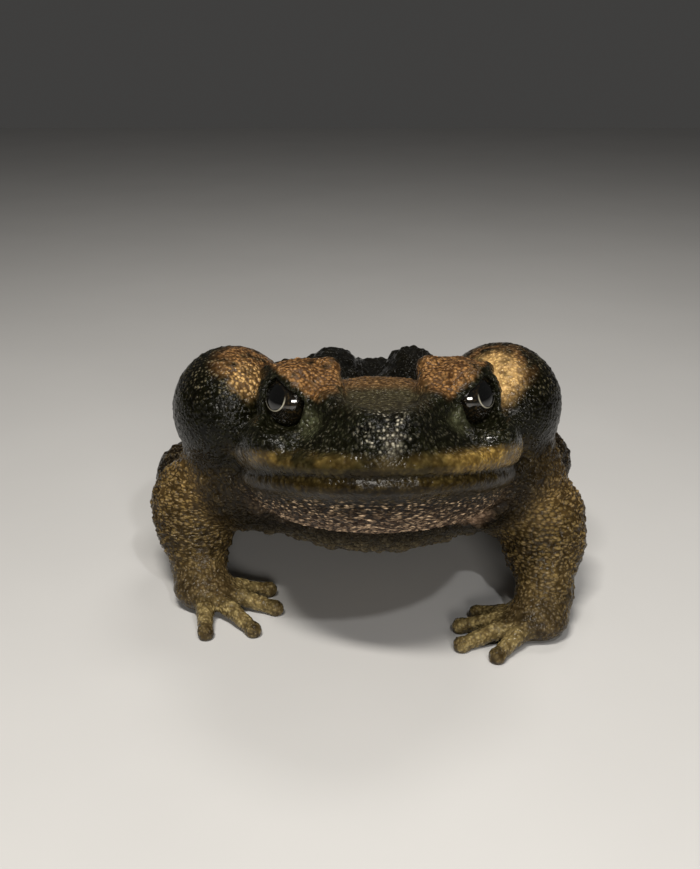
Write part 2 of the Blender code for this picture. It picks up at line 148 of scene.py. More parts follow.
class Ridge:
    """A fold of one thickness along a bent path."""

    def __init__(self, path, radius, blend=3.0, at=BODY_AT, turn=BODY_TURN):
        self.blend = blend
        self.lengths = [
            Taper(a, b, (radius, radius), blend, at, turn) for a, b in zip(path, path[1:])
        ]
        ends = self.lengths[0].start, self.lengths[-1].end
        self.centre = (ends[0] + ends[1]) / 2
        self.reach = max((piece.start - self.centre).length for piece in self.lengths) + radius
        self.reach = max(self.reach, (ends[1] - self.centre).length + radius)

    def distance(self, points):
        return np.min([piece.distance(points) for piece in self.lengths], axis=0)

    def middle(self):
        return self.centre

    def add_to(self, mesh):
        for piece in self.lengths:
            piece.add_to(mesh)


def union(shapes, points):
    """The filleted distance to a list of shapes, skipping each where it is far away."""
    total = np.full(len(points), 1e3)
    for shape in shapes:
        apart = np.linalg.norm(points - np.array(shape.middle()), axis=1) - shape.reach
        near = apart < total + shape.blend + 2
        if near.any():
            total[near] = smooth_min(total[near], shape.distance(points[near]), shape.blend)
    return total


def head_lump(centre, radii, blend=6.0, tilt=(0, 0, 0)):
    return Lump(centre, radii, blend, tilt, HEAD_AT, HEAD_TURN)


def head_ridge(path, radius, blend=3.0):
    return Ridge(path, radius, blend, HEAD_AT, HEAD_TURN)


def mirrored(path, side):
    return [(side * x, y, z) for x, y, z in path]


def mouth_height(x):
    """How far the mouth line drops towards its corners."""
    return -CORNER_DROOP * (abs(x) / HEAD_HALF_WIDTH) ** 4


def lip(rise, radius):
    """A rim round the mouth, from one corner to the other."""
    path = []
    for step in range(-8, 9):
        angle = math.radians(step * 12)
        x = (HEAD_HALF_WIDTH - 2.6) * math.sin(angle)
        y = -(HEAD_REACH - 2.6) * math.cos(angle)
        path.append((x, y, mouth_height(x) + rise))
    return head_ridge(path, radius, 2.5)


def head_shapes():
    shapes = [
        head_lump((0, 0, 3), (HEAD_HALF_WIDTH, HEAD_REACH - 1, 12)),
        head_lump((0, 4, 13), (36, 34, 17.5), 8),
        head_lump((0, -30, 10), (26, 28, 13), 8),
        head_lump((0, -50, 9.5), (13, 12, 9), 6),
    ]
    for side in (1, -1):
        brow_crest = mirrored([(18, -36, 21.5), (16, -26, 27.5), (17.5, -14, 34)], side)
        rear_crest = mirrored([(17.5, -14, 34), (28, -7, 34.5), (39, -6, 32)], side)
        snout_crest = mirrored([(18, -36, 21.5), (6.5, -56, 17)], side)
        shapes += [
            head_lump((side * 37, -17, 9), (12.5, 26, 10)),
            head_lump((side * 27.5, -16, 18), (12, 17, 12.5)),
            head_lump((side * 26, -20, 24.5), (13.5, 19.5, 7.2), 4, (26, 0, side * -22)),
            head_lump((side * 29.6, -18.5, 24.2), (13, 13.8, 12), 4),
            head_lump((side * 45, -6, 5), (6.5, 15, 6), 5),
            head_ridge(brow_crest, 2.8, 5),
            head_ridge(rear_crest, 2.8, 5),
            head_ridge(snout_crest, 2.8, 6),
        ]
    return shapes + [lip(3.0, 3.2)]


def lid_shapes():
    """The overhanging edge of each upper lid and the rim of the lower one, close round the eyeballs."""
    shapes = []
    for side in (1, -1):
        upper = mirrored(
            [(21, -33, 22), (25, -30.4, 24.4), (30.6, -29.4, 29.2), (34.5, -24.5, 32.4),
             (38, -16, 34), (40.5, -8, 33)],
            side,
        )
        lower = mirrored(
            [(24, -29.6, 22.4), (24, -28.8, 18), (26.7, -27.2, 13.9), (31.5, -24, 11.4),
             (36.4, -22.2, 12.6), (40.4, -18, 16.4), (42, -15, 22.5), (40.6, -11, 29)],
            side,
        )
        shapes += [head_ridge(upper, 1.8, 2.5), head_ridge(lower, 1.6, 2.5)]
    return shapes


def lower_jaw_shapes():
    shapes = [
        head_lump((0, 0, -5), (HEAD_HALF_WIDTH - 1, HEAD_REACH - 3, 11)),
        head_lump((0, -4, -11), (43, 46, 14), 8),
    ]
    return shapes + [lip(-3.2, 2.8)]


def parotoid_shapes(side):
    across = side * GLAND_SIDE[side]
    return [
        head_lump((across, 29, 18), (23.5, 33, 25), 6, (0, side * 12, side * 6)),
        head_lump((across + side * 2, 54, 7), (18, 26, 18), 14),
    ]


def torso_shapes():
    shapes = [
        Lump((0, 34, 30), (68, 80, 36), 16, (-7, 0, 0)),
        Lump((0, -20, 47), (55, 43, 31), 18),
        Lump((0, 98, 22), (36, 26, 20), 16),
    ]
    for side in (1, -1):
        shapes += [
            Lump((side * 17.5, 18, 67.5), (14, 33, 15), 5, (-6, 0, 0)),
            Lump((side * 11, 66, 52), (15, 26, 10), 8, (-16, 0, 0)),
            Lump((side * 48, -34, 50), (24, 26, 24), 12),
            Lump((side * 36, 76, 32), (30, 28, 26), 12),
        ]
    return shapes


def sided(place, side):
    return Vector((side * place[0], place[1], place[2]))


def digit_shapes(palm, digits, radius, side):
    """Digits that fan out from a palm, each with a raised knuckle and a round tip laid on the floor."""
    shapes = []
    for angle, length in digits:
        turn = math.radians(angle)
        along = Vector((-side * math.sin(turn), -math.cos(turn), 0))
        root = palm + along * 5
        knuckle = root + along * length * 0.45
        tip = root + along * length
        root.z = radius + 2
        knuckle.z = radius + 1.6
        tip.z = radius * 0.8 - 0.4
        shapes.append(Taper(root, knuckle, (radius + 0.6, radius), 3))
        shapes.append(Taper(knuckle, tip, (radius, radius * 0.8), 1.5))
        shapes.append(Lump(tip, (radius * 0.95,) * 3, 1))
    return shapes


def hand_shapes(side):
    wrist = sided(WRIST[side], side)
    palm = sided(PALM[side], side)
    shapes = [Taper(wrist, palm, (9, 7.5), 3), Lump(palm, (12, 11, 7.2), 5)]
    return shapes + digit_shapes(palm, FINGERS[side], 3.4, side)


def foot_shapes(side):
    ankle = sided(ANKLE, side)
    foot = sided(FOOT, side)
    shapes = [Taper(ankle, foot, (10, 7.5), 4), Lump(foot, (10, 14, 7.5), 6)]
    return shapes + digit_shapes(foot, TOES, 3.4, side)


def upper_arm_shapes(side):
    return [Taper(sided(SHOULDER, side), sided(ELBOW[side], side), (19, 15.5), 8)]


def forearm_shapes(side):
    elbow = sided(ELBOW[side], side)
    wrist = sided(WRIST[side], side)
    belly = elbow.lerp(wrist, 0.35)
    return [Taper(elbow, wrist, (15, 10.5), 8), Lump(belly, (16, 16, 16), 6)]


def thigh_shapes(side):
    hip = sided(HIP, side)
    knee = sided(KNEE[side], side)
    middle = hip.lerp(knee, 0.42)
    return [Taper(hip, knee, (24, 14.5), 6), Lump(middle, (21, 32, 22), 6, (0, 0, side * 34))]


def shank_shapes(side):
    knee = sided(KNEE[side], side)
    ankle = sided(ANKLE, side)
    calf = knee.lerp(ankle, 0.38) + Vector((side * 2, 0, 0))
    return [Taper(knee, ankle, (13.5, 10), 5), Lump(calf, (12.5, 28, 13.5), 6, (9, 0, side * 10))]


# What makes the shapes of each flesh node. Those in MIDDLE_NODES lie across the middle, the rest are pairs
FLESH = {
    "parotoid": parotoid_shapes,
    "head": lambda: head_shapes() + lid_shapes(),
    "lower_jaw": lower_jaw_shapes,
    "torso": torso_shapes,
    "upper_arm": upper_arm_shapes,
    "forearm": forearm_shapes,
    "hand": hand_shapes,
    "thigh": thigh_shapes,
    "shank": shank_shapes,
    "foot": foot_shapes,
}
MIDDLE_NODES = ("head", "lower_jaw", "torso")


def node_shapes():
    shapes = {}
    for kind, make in FLESH.items():
        if kind in MIDDLE_NODES:
            shapes[kind] = make()
        else:
            shapes[kind + "_left"] = make(1)
            shapes[kind + "_right"] = make(-1)
    return shapes


def digit_tips(name):
    """The tips of a hand's or foot's digits. Two shapes come before the digits, which have three each."""
    return SHAPES[name][4::3]


SHAPES = node_shapes()
LIDS = lid_shapes()
SKULL = head_shapes()
ARM = ("upper_arm", "forearm", "hand")
LEG = ("thigh", "shank", "foot")


def joined(names, points, blend):
    total = union(SHAPES[names[0]], points)
    for name in names[1:]:
        total = smooth_min(total, union(SHAPES[name], points), blend)
    return total


class EyeOpening:
    """What the lids leave open: a lens in front of an eyeball, cut off by the edge of the upper lid."""

    def __init__(self, side):
        eye = sided(EYE_AT, side)
        self.lens = head_lump(eye + sided(LENS_AHEAD, side), LENS_RADII, 1, (0, 0, side * LENS_YAW))
        self.eye = np.array(HEAD_AT + HEAD_TURN @ eye)
        self.down = np.array(HEAD_TURN @ Vector((side * LID_FACING[0], *LID_FACING[1:])).normalized())

    def distance(self, points):
        return np.maximum(self.lens.distance(points), -LID_RISE - (points - self.eye) @ self.down)

    def form(self):
        """The opening as a closed mesh."""
        bm = bmesh.new()
        self.lens.add_to(bm)
        down = Vector(self.down)
        everything = bm.verts[:] + bm.edges[:] + bm.faces[:]
        edge = Vector(self.eye) - down * LID_RISE
        bmesh.ops.bisect_plane(bm, geom=everything, plane_co=edge, plane_no=down, clear_inner=True)
        bmesh.ops.holes_fill(bm, edges=[rim for rim in bm.edges if rim.is_boundary])
        bmesh.ops.recalc_face_normals(bm, faces=bm.faces[:])
        return bm


OPENINGS = [EyeOpening(side) for side in (1, -1)]


def body_distance(points):
    """The distance to the whole toad's skin."""
    total = smooth_min(union(SKULL, points), union(SHAPES["lower_jaw"], points), 1.2)
    total = smooth_min(total, union(SHAPES["torso"], points), 9)
    for side in ("left", "right"):
        total = smooth_min(total, union(SHAPES["parotoid_" + side], points), 4)
        total = smooth_min(total, joined([f"{n}_{side}" for n in ARM], points, 5), 7)
        total = smooth_min(total, joined([f"{n}_{side}" for n in LEG], points, 4), 4)
    for opening in OPENINGS:
        total = -smooth_min(-total, opening.distance(points), 1)
    return smooth_min(total, union(LIDS, points), 2)


# The skin's mesh: a rough one, then a finer one whose faces are smaller round the head, thinned at the end
ROUGH_VOXEL = 2.6
FINE_VOXEL = 1.42
FINE_AT = np.array([0.0, -128.0, 74.0])
FINE_REACH = 64.0
FINE_ZOOM = 1.75
MOST_TRIANGLES = 192000

# The zones of the skin and the nodes that each covers, with the distance over which two zones blend
ZONE_NODES = {
    "head": ("head",),
    "jaw": ("lower_jaw",),
    "torso": ("torso",),
    "gland": ("parotoid_left", "parotoid_right"),
    "upper_arm": ("upper_arm_left", "upper_arm_right"),
    "forearm": ("forearm_left", "forearm_right"),
    "hand": ("hand_left", "hand_right"),
    "thigh": ("thigh_left", "thigh_right"),
    "shank": ("shank_left", "shank_right"),
    "foot": ("foot_left", "foot_right"),
}
ZONE_BLEND = 2.2


def new_piece(name, mesh):
    piece = bpy.data.objects.new(name, mesh)
    bpy.context.scene.collection.objects.link(piece)
    return piece


def piece_from(bm, name):
    mesh = bpy.data.meshes.new(name)
    bm.to_mesh(mesh)
    bm.free()
    return new_piece(name, mesh)


def applied(piece):
    """Put a piece's modifiers into its mesh."""
    depsgraph = bpy.context.evaluated_depsgraph_get()
    mesh = bpy.data.meshes.new_from_object(piece.evaluated_get(depsgraph))
    piece.modifiers.clear()
    piece.data = mesh


def remesh(piece, voxel):
    modifier = piece.modifiers.new("remesh", "REMESH")
    modifier.mode = "VOXEL"
    modifier.voxel_size = voxel
    applied(piece)


def thin_out(piece, most):
    """Leave a piece with at most so many triangles, fewer where it is flat. Its colours stay in place."""
    piece.data.calc_loop_triangles()
    triangles = len(piece.data.loop_triangles)
    if triangles > most:
        modifier = piece.modifiers.new("thin", "DECIMATE")
        modifier.ratio = most / triangles
        applied(piece)


def cut_out(piece, other):
    """Cut another piece's form out of one, and drop the other piece."""
    modifier = piece.modifiers.new("cut", "BOOLEAN")
    modifier.operation = "DIFFERENCE"
    modifier.solver = "MANIFOLD"
    modifier.object = other
    applied(piece)
    bpy.data.objects.remove(other)


def read_places(mesh):
    places = np.empty(len(mesh.vertices) * 3)
    mesh.vertices.foreach_get("co", places)
    return places.reshape(-1, 3)


def write_places(mesh, places):
    mesh.vertices.foreach_set("co", places.ravel())
    mesh.update()


def read_normals(mesh):
    normals = np.empty(len(mesh.vertices) * 3)
    mesh.vertex_normals.foreach_get("vector", normals)
    return normals.reshape(-1, 3)


def swollen(places):
    """The places with the head and its surroundings enlarged, so that a remesh gives them finer faces."""
    away = places - FINE_AT
    reach = np.linalg.norm(away, axis=1)[:, None]
    grown = np.where(reach < FINE_REACH, FINE_ZOOM * reach, reach + (FINE_ZOOM - 1) * FINE_REACH)
    return FINE_AT + away * grown / np.maximum(reach, 1e-6)


def settled(places):
    """The swollen places put back."""
    away = places - FINE_AT
    reach = np.linalg.norm(away, axis=1)[:, None]
    shrunk = np.where(
        reach < FINE_ZOOM * FINE_REACH, reach / FINE_ZOOM, reach - (FINE_ZOOM - 1) * FINE_REACH
    )
    return FINE_AT + away * shrunk / np.maximum(reach, 1e-6)


def draw_onto_skin(places, rounds, probe):
    """Move places along the slope of the distance until they lie on the toad's skin."""
    corners = probe * np.array([[1, -1, -1], [-1, -1, 1], [-1, 1, -1], [1, 1, 1]], float)
    for _ in range(rounds):
        distances = [skin_distance(places + corner) for corner in corners]
        slope = sum(d[:, None] * corner for d, corner in zip(distances, corners)) / (4 * probe * probe)
        steep = np.maximum((slope * slope).sum(axis=1), 0.25)
        step = np.clip(np.mean(distances, axis=0) / steep, -2.5, 2.5)
        places = places - step[:, None] * slope
    return places


def nostril_pits():
    pits = []
    for side in (1, -1):
        pits.append(head_lump((side * 7.6, -58.2, 14.4), (1.5, 2.6, 1.1), 0.8, (0, side * 24, side * 30)))
    return pits


PITS = nostril_pits()


def skin_distance(points):
    """The whole toad, with the nostrils open."""
    total = body_distance(points)
    for pit in PITS:
        total = -smooth_min(-total, pit.distance(points), pit.blend)
    return total


def bare_skin():
    """The smooth skin of the whole toad in one mesh, before its warts and folds."""
    bm = bmesh.new()
    for shapes in SHAPES.values():
        for shape in shapes:
            shape.add_to(bm)
    skin = piece_from(bm, "skin")
    remesh(skin, ROUGH_VOXEL)
    for opening in OPENINGS:
        cut_out(skin, piece_from(opening.form(), "lens"))
    places = draw_onto_skin(read_places(skin.data), rounds=4, probe=0.3)
    write_places(skin.data, swollen(places))
    remesh(skin, FINE_VOXEL)
    places = draw_onto_skin(settled(read_places(skin.data)), rounds=2, probe=0.15)
    write_places(skin.data, places)
    return skin


def ramp(values, low, high):
    """A smooth step from 0 at low to 1 at high."""
    share = np.clip((values - low) / (high - low), 0, 1)
    return share * share * (3 - 2 * share)


def mix(one, other, share):
    return one + (other - one) * share[:, None]


def patch(places, centre, radii, soft=0.4):
    """1 inside an ellipsoid, fading to 0 outside it."""
    away = np.linalg.norm((places - np.array(centre)) / np.array(radii), axis=1)
    return 1 - ramp(away, 1 - soft, 1 + soft)


def clouds(places, size, seed):
    """Soft noise from -1 to 1 with features of about this size."""
    offset = Vector((seed * 17.3, seed * 5.1, seed * 9.7))
    return np.array([noise.fractal(Vector(p) / size + offset, 0.8, 2.1, 3) for p in places.tolist()])


def cobbles(places, size, seed):
    """Rounded cobbles of about this size: 1 on their tops and 0 in the creases between them."""
    offset = Vector((seed * 7.7, seed * 3.9, seed * 11.3))
    heights = np.empty(len(places))
    for index, place in enumerate((places / size).tolist()):
        apart = noise.voronoi(Vector(place) + offset)[0]
        heights[index] = apart[1] - apart[0]
    return ramp(heights, 0.0, 0.55)


class Skin:
    """The toad's skin as arrays: places and normals, also in the head's frame, and shares of each zone."""

    def __init__(self, mesh):
        self.places = read_places(mesh)
        self.normals = read_normals(mesh)
        turn = np.array(HEAD_TURN)
        self.face = (self.places - np.array(HEAD_AT)) @ turn
        self.facing = self.normals @ turn
        distances = {}
        for zone, nodes in ZONE_NODES.items():
            distances[zone] = np.min([union(SHAPES[node], self.places) for node in nodes], axis=0)
        nearest = np.min(list(distances.values()), axis=0)
        weights = {zone: np.exp(-(d - nearest) / ZONE_BLEND) for zone, d in distances.items()}
        total = sum(weights.values())
        self.zones = {zone: weight / total for zone, weight in weights.items()}

    def by_zone(self, values):
        """A number or colour given for each zone, blended over the skin."""
        sample = next(iter(values.values()))
        if np.isscalar(sample):
            return sum(self.zones[zone] * value for zone, value in values.items())
        return sum(self.zones[zone][:, None] * np.array(value) for zone, value in values.items())


# Warts: their radius and height in each zone, the sizes they come in, how many places are tried, the lowest
# height of one above the floor and how much wider than a wart its clear room is
WART_RADIUS = {
    "head": 1.2, "jaw": 0.9, "torso": 3.0, "gland": 1.3, "upper_arm": 1.9,
    "forearm": 1.7, "hand": 0.9, "thigh": 2.6, "shank": 2.1, "foot": 1.0,
}
WART_HEIGHT = {
    "head": 0.22, "jaw": 0.14, "torso": 1.1, "gland": 0.25, "upper_arm": 0.6,
    "forearm": 0.55, "hand": 0.2, "thigh": 0.9, "shank": 0.7, "foot": 0.22,
}
WART_SIZES = (0.55, 0.7, 0.7, 0.85, 1.0, 1.35)
WART_SEED = 11
WART_TRIES = 5200
WART_LOWEST = 3
WART_ROOM = 1.5

# Cobbles: their sizes and how far they rise in each zone
COBBLE_SIZE = 3.1
FINE_COBBLE_SIZE = 1.9
COBBLE_RISE = {
    "head": 0.20, "jaw": 0.16, "torso": 0.40, "gland": 0.20, "upper_arm": 0.80,
    "forearm": 0.75, "hand": 0.22, "thigh": 0.50, "shank": 0.45, "foot": 0.20,
}
FINE_COBBLE_RISE = {
    "head": 0.22, "jaw": 0.10, "torso": 0.15, "gland": 0.14, "upper_arm": 0.20,
    "forearm": 0.22, "hand": 0.16, "thigh": 0.16, "shank": 0.16, "foot": 0.14,
}

# The throat's cobbles are drawn out across it, and the folds round the arms are this far apart
THROAT_SQUASH = (0.45, 1.0, 1.0)
FOREARM_FOLDS = 3.0
UPPER_ARM_FOLDS = 4.2


def wart_field(skin):
    """The rise of the skin at each place from warts scattered over it, each clear of the others."""
    rng = random.Random(WART_SEED)
    radii = skin.by_zone(WART_RADIUS)
    heights = skin.by_zone(WART_HEIGHT)
    tree = kdtree.KDTree(len(skin.places))
    for index, place in enumerate(skin.places.tolist()):
        tree.insert(place, index)
    tree.balance()
    taken = np.zeros(len(skin.places), bool)
    rise = np.zeros(len(skin.places))
    for _ in range(WART_TRIES):
        index = rng.randrange(len(skin.places))
        size = rng.choice(WART_SIZES)
        radius = radii[index] * size
        if taken[index] or skin.places[index][2] < WART_LOWEST:
            continue
        around = tree.find_range(skin.places[index].tolist(), radius * WART_ROOM)
        for _, near, apart in around:
            taken[near] = True
            share = max(0.0, 1 - (apart / radius) ** 2)
            rise[near] = max(rise[near], heights[index] * size * share ** 1.4)
    return rise


def limb_wrinkles(skin):
    """Folds across the arms, as shares from 0 in a groove to 1 on a fold."""
    total = np.zeros(len(skin.places))
    wander = clouds(skin.places, 9, 3)
    for side in (1, -1):
        for start, end, zone, spacing in (
            (ELBOW[side], WRIST[side], "forearm", FOREARM_FOLDS),
            (SHOULDER, ELBOW[side], "upper_arm", UPPER_ARM_FOLDS),
        ):
            first = np.array(BODY_AT + sided(start, side))
            along = np.array(BODY_AT + sided(end, side)) - first
            length = np.linalg.norm(along)
            reach = (skin.places - first) @ along / length
            wave = 0.5 + 0.5 * np.cos(reach * 2 * math.pi / spacing + wander * 5)
            here = skin.zones[zone] * (np.sign(skin.places[:, 0]) == side)
            total += here * wave
    return total


def detail(skin):
    """The rise of the skin from warts, cobbles and folds, and the share of it that lies in a crease."""
    cobble = cobbles(skin.places, COBBLE_SIZE, 1)
    fine = cobbles(skin.places, FINE_COBBLE_SIZE, 2)
    wrinkled = cobbles(skin.face * np.array(THROAT_SQUASH), FINE_COBBLE_SIZE, 4)
    cobble_rise = skin.by_zone(COBBLE_RISE)
    fine_rise = skin.by_zone(FINE_COBBLE_RISE)
    throat = skin.zones["jaw"] * ramp(-skin.face[:, 2], 6, 14)
    lip = ramp(skin.face[:, 2], -1, 0.5) * ramp(-skin.face[:, 2], -8, -4) * (skin.face[:, 1] < 8)
    lip = lip * skin.zones["head"]
    calm = 1 - 0.75 * lip
    rise = wart_field(skin) * (1 - 0.9 * lip)
    rise += calm * (cobble_rise * (cobble - 0.5) + fine_rise * (fine - 0.5))
    rise += 0.9 * throat * (wrinkled - 0.5)
    arms = skin.zones["forearm"] + skin.zones["upper_arm"]
    grooves = (arms - limb_wrinkles(skin)) ** 2
    rise += 0.75 * (0.4 * arms - grooves)
    off_floor = ramp(skin.places[:, 2], 0.3, 2.5)
    lids = sum(patch(skin.face, (side * 31, -23, 21.5), (11.5, 13, 11.5), 0.12) for side in (1, -1))
    rise *= off_floor * np.clip(1 - lids, 0.15, 1)
    # How deep each place lies in a crease or in a groove across the arms, for the material's painted shade
    crease = 1 - (0.5 * cobble + 0.5 * fine)
    crease = crease * (1 - throat) + (1 - wrinkled) * throat
    crease = np.maximum(crease * (1 - 0.4 * arms), 0.95 * grooves)
    return rise, crease


# Colours of the skin, and of the shade and highlights painted on it (linear)
HOLLOW_SHADE = (0.016, 0.011, 0.007)
ZONE_COLOUR = {
    "head": (0.014, 0.015, 0.007),
    "jaw": (0.048, 0.032, 0.008),
    "torso": (0.011, 0.010, 0.006),
    "gland": (0.009, 0.009, 0.003),
    "upper_arm": (0.31, 0.207, 0.075),
    "forearm": (0.15, 0.105, 0.037),
    "hand": (0.135, 0.097, 0.042),
    "thigh": (0.055, 0.042, 0.020),
    "shank": (0.065, 0.048, 0.023),
    "foot": (0.17, 0.125, 0.055),
}
BEAD_COLOUR = {
    "head": (0.19, 0.17, 0.12),
    "jaw": (0.11, 0.08, 0.045),
    "torso": (0.085, 0.068, 0.042),
    "gland": (0.20, 0.17, 0.10),
    "upper_arm": (0.46, 0.32, 0.17),
    "forearm": (0.34, 0.25, 0.14),
    "hand": (0.34, 0.255, 0.125),
    "thigh": (0.17, 0.125, 0.07),
    "shank": (0.18, 0.135, 0.075),
    "foot": (0.30, 0.23, 0.09),
}
TAN = (0.50, 0.27, 0.10)
OCHRE = (0.95, 0.62, 0.25)
LIP = (0.56, 0.37, 0.10)
PALE = (0.72, 0.50, 0.34)
BEAD_PALE = (0.85, 0.62, 0.40)
BEAD_GLINT = (0.56, 0.52, 0.42)
SNOUT_HIGHLIGHT = (0.24, 0.23, 0.18)
CROWN = (0.12, 0.105, 0.055)
LOWER_LID = (0.10, 0.11, 0.06)
LOWER_LID_GLINT = (0.30, 0.29, 0.18)
FINGER = (0.44, 0.345, 0.15)
TIP = (0.035, 0.018, 0.008)
BELLY = (0.46, 0.38, 0.23)

# Patches in the head's frame, as a middle and three radii, that more than one colour, painted glint, painted
# shade or grain setting uses
SNOUT = ((-1, -57, 13), (9, 9, 9))
NAPE = ((0, 17, 33), (24, 10, 12))
LEFT_OCHRE = ((44, 3, 31), (10, 13, 12))

# The tan pad over each eye ends at a plane that leans outwards: how much x and z count in a height above it
PAD_LEAN = 0.618
PAD_RISE = 0.786


class Marks:
    """Shares of the skin, from 0 to 1, and slow changes over it that more than one of its colours uses."""

    def __init__(self, skin):
        zones, face = skin.zones, skin.face
        self.drift = clouds(skin.places, 14, 5)
        self.spots = clouds(skin.places, 5, 6)
        self.head_like = zones["head"] + zones["gland"]
        self.limbs = 1 - zones["head"] - zones["gland"] - zones["torso"] - zones["jaw"]
        self.digits = zones["hand"] + zones["foot"]
        self.up = ramp(skin.facing[:, 2], -0.1, 0.5)
        self.throat = zones["jaw"] * ramp(-face[:, 2], 6, 11)
        self.lip = ramp(face[:, 2], -0.5, 0.8) * ramp(-face[:, 2], -8.5, -5) * ramp(-face[:, 1], -10, -2)
        self.lip *= zones["head"]
        self.snout = patch(face, *SNOUT)
        self.nape = patch(face, *NAPE)
        self.ochre = patch(face, *LEFT_OCHRE)


def skin_tone(skin, marks, rise):
    """The skin's colour at each place, with painted shade in the hollows under the pads and painted
    highlights on the snout, the lower lids, the lip's top edge and a fold below the head.
    """
    face, spots = skin.face, marks.spots
    tone = skin.by_zone(ZONE_COLOUR) * (1 + 0.45 * marks.drift)[:, None]

    def lay(colour, share):
        nonlocal tone
        tone = mix(tone, np.array(colour), np.clip(share, 0, 1))

    lay(CROWN, 0.8 * patch(face, (0, -22, 24), (15, 34, 9)) * marks.up)
    pad_up = ramp(skin.facing[:, 2], -0.5, 0.1)
    above_lid = ramp(PAD_RISE * face[:, 2] - PAD_LEAN * np.abs(face[:, 0]), 3.6, 5.2)
    for side in (1, -1):
        pad = patch(face, (side * 27, -20, 30), (15, 22, 12), 0.2)
        lay(TAN, 0.92 * pad * pad_up * above_lid * ramp(spots, -0.8, 0.0))
    lay(TAN, 0.55 * patch(face, (0, -4, 31), (19, 16, 7)) * marks.up)
    behind_eye = marks.head_like * ramp(face[:, 1], -16, -9)
    lay(TAN, patch(face, (-42, 9, 38), (16, 19, 13)) * ramp(spots, -0.6, 0.2) * behind_eye)
    lay(OCHRE, 0.75 * patch(face, (-45, 2, 31), (9, 10, 8)) * ramp(spots, -0.5, 0.2) * behind_eye)
    lay(TAN, 0.6 * patch(face, (44, 9, 36), (15, 18, 13)) * ramp(spots, -0.3, 0.5) * behind_eye)
    lay(OCHRE, marks.ochre * ramp(spots, -0.9, -0.1) * behind_eye)
    lay(LIP, (0.07 + 0.8 * ramp(face[:, 0], 10, 36)) * marks.lip * ramp(spots, -1.3, 0.1))
    # Painted light: the lip's top edge is painted lighter, as where it catches the light, most towards the
    # toad's right
    lit_lip_top = marks.lip * ramp(face[:, 2], 2.0, 3.6)
    lay(LIP, (0.08 + 0.3 * ramp(-face[:, 0], 14, 34)) * lit_lip_top * ramp(spots, -0.4, 0.4))
    # A painted wet highlight down the middle of the snout
    lay(SNOUT_HIGHLIGHT, 0.6 * patch(face, (1, -59, 10), (3, 6, 5)))
    for side in (1, -1):
        # Painted shade in the hollows under the inner front corners of the tan pads
        lay(HOLLOW_SHADE, 0.8 * patch(face, (side * 13.5, -36, 20), (5, 8, 3.5)))
        lay(LOWER_LID, 0.9 * patch(face, (side * 23.5, -34, 14), (4.5, 9, 6.5)))
        # A painted wet glint at the lower edge of each eye
        lay(LOWER_LID_GLINT, 0.9 * patch(face, (side * 29, -30, 10.5), (4, 7, 2.3)))
    lay(PALE, 0.5 * marks.throat * ramp(-face[:, 2], 8, 20))
    lay(PALE, 0.2 * marks.nape)
    # Pale skin on a fold below the head on the toad's left, laid near full strength as painted light so that
    # the fold reads as lit
    lay(PALE, 0.95 * patch(face, (36, -10, -24), (9, 30, 5)) * (1 - skin.zones["jaw"]))
    under = ramp(-skin.normals[:, 2], 0.2, 0.8) * ramp(-skin.places[:, 2], -38, -14)
    lay(BELLY, 0.6 * under * (skin.zones["torso"] + skin.zones["thigh"]))
    for name in ("hand_left", "hand_right", "foot_left", "foot_right"):
        for tip in digit_tips(name):
            away = np.linalg.norm(skin.places - np.array(tip.centre), axis=1)
            lay(FINGER, 0.75 * (1 - ramp(away, 11, 19)))
            lay(TIP, 0.8 * (1 - ramp(away, 2.6, 4.8)))
    wart_top = ramp(rise, 0.25, 0.8)
    return tone * ((1 + 0.35 * wart_top) * (1 + 0.5 * marks.limbs * spots))[:, None]


def skin_wetness_grains_and_shade(skin, marks, crease):
    """How wet the skin is, how many pale grains and painted glints it has, and how deep it lies in a crease,
    where the material paints shade.
    """
    wet = (0.5 + 0.5 * ramp(marks.drift, -0.4, 0.4)) * (1 - 0.6 * skin.zones["jaw"])
    # Pale grains, with painted glints on the snout and on the upper faces of the glands
    grains_and_glints = 0.03 + 0.5 * marks.up ** 2 * skin.zones["gland"] + 0.2 * marks.up * skin.zones["head"]
    grains_and_glints += 0.6 * marks.snout + 0.9 * marks.nape + 0.35 * marks.limbs * (1 - 0.6 * marks.digits)
    grains_and_glints += 1.1 * marks.throat * ramp(marks.spots, -1.1, -0.1)
    grains_and_glints = np.clip(grains_and_glints * (1 - 0.6 * marks.lip), 0, 1)
    return np.stack([wet, grains_and_glints, crease], axis=1)


def skin_grain_and_crease_shade(skin, marks, tone):
    """How rough the skin is, how its grains are drawn out and how much painted shade darkens the creases
    between them.

    Grains are drawn out level on an arm at 0.5, and across the throat at 1.
    """
    bright = ramp(tone.sum(axis=1), 0.3, 0.9) * marks.head_like
    bumpy = 0.55 + 0.45 * bright + 0.45 * marks.limbs - 0.3 * marks.digits + 0.45 * marks.throat
    bumpy += 0.4 * marks.snout - 0.4 * marks.lip - 0.48 * (skin.zones["jaw"] - marks.throat)
    crease_shade_depth = 0.5 + 0.35 * bright + 0.3 * marks.limbs - 0.35 * marks.digits + 0.45 * marks.throat
    crease_shade_depth += 0.3 * marks.snout - 0.3 * marks.lip - 0.6 * marks.ochre
    arms = skin.zones["upper_arm"] + skin.zones["forearm"]
    stretch = np.where(arms > 0.5, 0.5, marks.throat)
    return np.clip(np.stack([bumpy, stretch, crease_shade_depth], axis=1), 0, 1)


